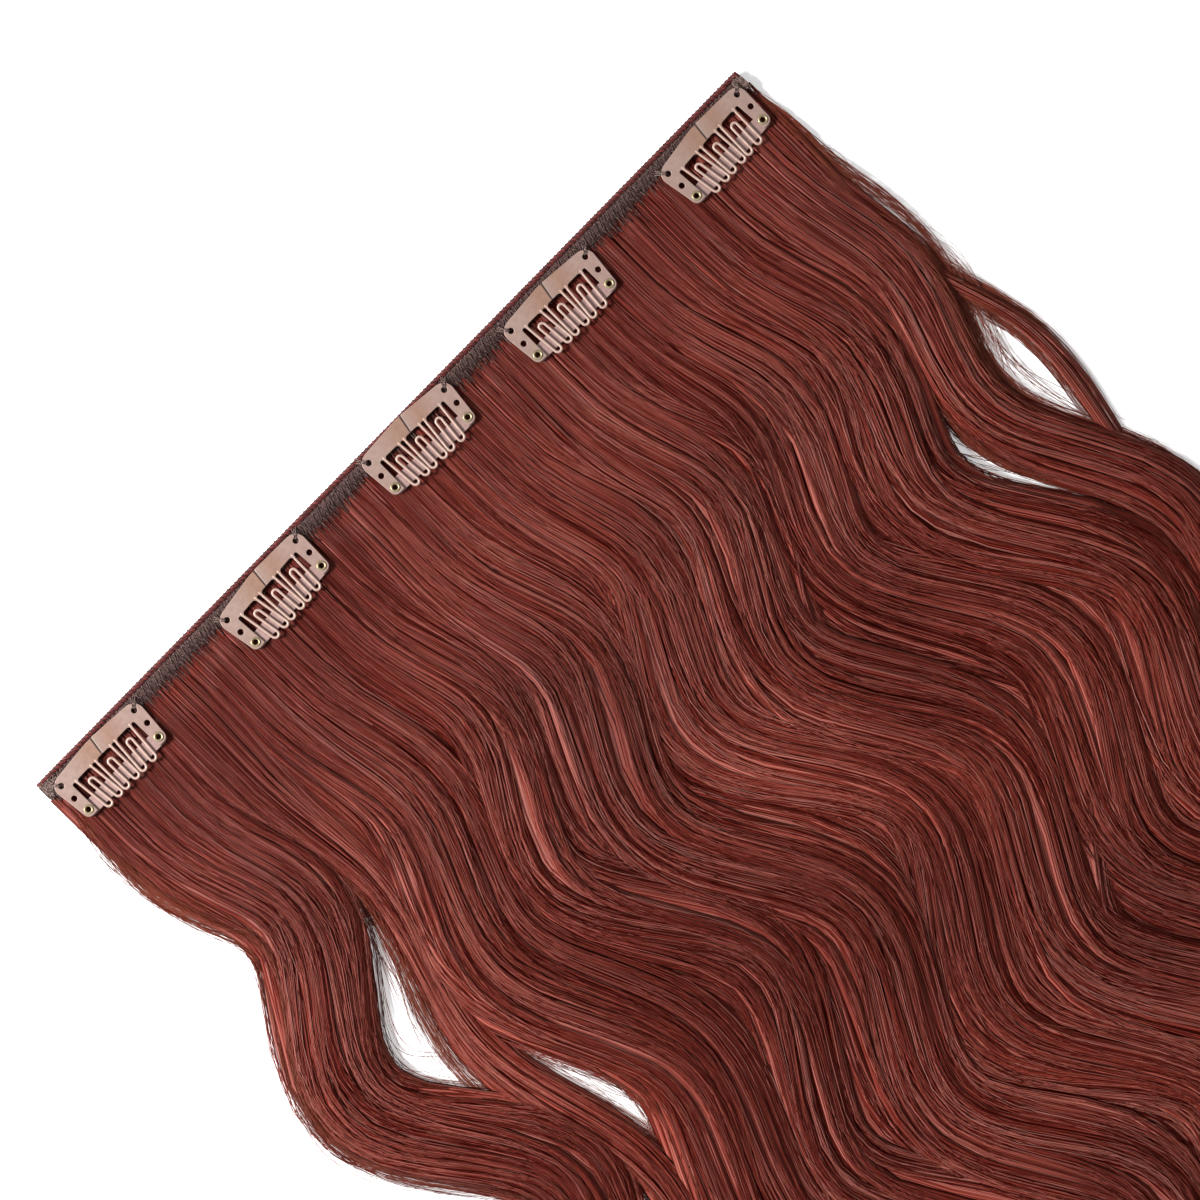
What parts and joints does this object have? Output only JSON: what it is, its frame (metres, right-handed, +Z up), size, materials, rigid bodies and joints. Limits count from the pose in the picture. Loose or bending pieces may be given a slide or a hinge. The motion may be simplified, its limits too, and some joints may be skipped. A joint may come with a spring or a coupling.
{
  "type": "hair extension",
  "caption": "Clip-in hair extension: a sewn band of long waved hair lying flat, with creased snap clips along the band whose toothed combs spring up to open.",
  "frame": {"origin": "middle of the band's underside, on the surface that the extension lies on", "axes": "+X along the band, +Y from the hair's tips to the band, +Z up, out of the clip side"},
  "size_m": [0.29, 0.4575, 0.008],
  "materials": {
    "hair": "glossy auburn fibre",
    "band": "sewn, matt",
    "sheet": "pinkish tan lacquer, satin",
    "bar": "grey mauve lacquer, satin",
    "brass": "polished"
  },
  "bodies": {
    "weft": {"weft_band": "band", "hair": "hair", "clip_1_frame": "sheet", "clip_1_bar": "bar", "clip_1_eyelet_left": "brass", "clip_1_eyelet_right": "brass", "clip_2_frame": "sheet", "clip_2_bar": "bar", "clip_2_eyelet_left": "brass", "clip_2_eyelet_right": "brass", "clip_3_frame": "sheet", "clip_3_bar": "bar", "clip_3_eyelet_left": "brass", "clip_3_eyelet_right": "brass", "clip_4_frame": "sheet", "clip_4_bar": "bar", "clip_4_eyelet_left": "brass", "clip_4_eyelet_right": "brass", "clip_5_frame": "sheet", "clip_5_bar": "bar", "clip_5_eyelet_left": "brass", "clip_5_eyelet_right": "brass"},
    "clip_1_comb": {"clip_1_comb": "sheet"},
    "clip_2_comb": {"clip_2_comb": "sheet"},
    "clip_3_comb": {"clip_3_comb": "sheet"},
    "clip_4_comb": {"clip_4_comb": "sheet"},
    "clip_5_comb": {"clip_5_comb": "sheet"}
  },
  "joints": [
    {"name": "clip_1_snap", "type": "hinge", "parent": "weft", "child": "clip_1_comb", "pos_m": [-0.11163, -0.00219, 0.00365], "axis": [-1, -0.0087, 0], "range_deg": [0, 30]},
    {"name": "clip_2_snap", "type": "hinge", "parent": "weft", "child": "clip_2_comb", "pos_m": [-0.05075, -0.00208, 0.00365], "axis": [-0.998, -0.0628, 0], "range_deg": [0, 30]},
    {"name": "clip_3_snap", "type": "hinge", "parent": "weft", "child": "clip_3_comb", "pos_m": [0.00411, -0.00102, 0.00365], "axis": [-0.9997, 0.0262, 0], "range_deg": [0, 30]},
    {"name": "clip_4_snap", "type": "hinge", "parent": "weft", "child": "clip_4_comb", "pos_m": [0.05445, -0.00322, 0.00365], "axis": [-0.9999, 0.0122, 0], "range_deg": [0, 30]},
    {"name": "clip_5_snap", "type": "hinge", "parent": "weft", "child": "clip_5_comb", "pos_m": [0.11216, -0.00289, 0.00365], "axis": [-0.9982, -0.0593, 0], "range_deg": [0, 30]}
  ]
}
